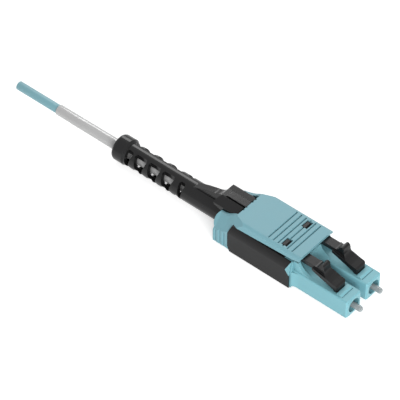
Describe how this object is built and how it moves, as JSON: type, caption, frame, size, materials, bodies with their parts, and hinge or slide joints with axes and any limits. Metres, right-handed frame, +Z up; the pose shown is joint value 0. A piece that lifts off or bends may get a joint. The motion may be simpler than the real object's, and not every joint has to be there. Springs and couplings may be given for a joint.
{
  "type": "duplex lc push-pull fibre connector",
  "caption": "Duplex LC fibre-optic plug with sprung ferrules, latch levers, a push-pull slider, a slotted boot and a short round cable stub.",
  "frame": {"origin": "middle of the rear body's underside, on the surface that the connector lies on", "axes": "+X forward out of the plugs, +Y to the left plug, +Z up towards the latches"},
  "size_m": [0.0943, 0.0124, 0.0094],
  "materials": {
    "aqua_plastic": "satin moulded aqua thermoplastic",
    "black_plastic": "satin moulded black thermoplastic",
    "black_rubber": "smooth black elastomer",
    "nickel_brass": "nickel-plated brass",
    "crimp_metal": "plain bright metal",
    "spring_steel": "bright stainless wire",
    "zirconia": "polished white ceramic",
    "fibre_glass": "clear glass fibre",
    "aramid_yarn": "yellow aramid yarn",
    "aqua_jacket": "satin aqua cable jacket",
    "white_sleeve": "translucent white tube",
    "buffer_tube": "white buffer tube"
  },
  "bodies": {
    "housing": {"front_housing": "aqua_plastic", "rear_body": "black_plastic", "bottom_cover": "black_plastic", "crimp_post": "nickel_brass", "yarn_layer": "aramid_yarn", "crimp_sleeve": "crimp_metal", "cable_jacket": "aqua_jacket", "cable_core": "aramid_yarn", "clear_sleeve": "white_sleeve", "spring_stop_left": "black_plastic", "spring_left": "spring_steel", "fibre_tube_left": "buffer_tube", "cable_fibre_left": "fibre_glass", "spring_stop_right": "black_plastic", "spring_right": "spring_steel", "fibre_tube_right": "buffer_tube", "cable_fibre_right": "fibre_glass"},
    "slider": {"slider_shell": "aqua_plastic", "boot": "black_rubber"},
    "latch_left": {"latch_left": "black_plastic"},
    "ferrule_left": {"ferrule_left": "zirconia", "fibre_core_left": "fibre_glass", "ferrule_holder_left": "crimp_metal"},
    "latch_right": {"latch_right": "black_plastic"},
    "ferrule_right": {"ferrule_right": "zirconia", "fibre_core_right": "fibre_glass", "ferrule_holder_right": "crimp_metal"}
  },
  "joints": [
    {"name": "slider_pull", "type": "slide", "parent": "housing", "child": "slider", "axis": [-1, 0, 0], "range_m": [0, 0.0025], "stiffness_N_per_m": 20},
    {"name": "latch_left_press", "type": "hinge", "parent": "housing", "child": "latch_left", "pos_m": [0.0181, 0.00313, 0.00495], "axis": [0, -1, 0], "range_deg": [0, 8]},
    {"name": "latch_right_press", "type": "hinge", "parent": "housing", "child": "latch_right", "pos_m": [0.0181, -0.00313, 0.00495], "axis": [0, -1, 0], "range_deg": [0, 8]},
    {"name": "ferrule_left_float", "type": "slide", "parent": "housing", "child": "ferrule_left", "axis": [-1, 0, 0], "range_m": [0, 0.0006], "stiffness_N_per_m": 20, "deforming": ["spring_left"]},
    {"name": "ferrule_right_float", "type": "slide", "parent": "housing", "child": "ferrule_right", "axis": [-1, 0, 0], "range_m": [0, 0.0006], "stiffness_N_per_m": 20, "deforming": ["spring_right"]}
  ],
  "couplings": [
    {"joint": "latch_left_press", "follows": "slider_pull", "rad_per_m": 55.85},
    {"joint": "latch_right_press", "follows": "slider_pull", "rad_per_m": 55.85}
  ]
}
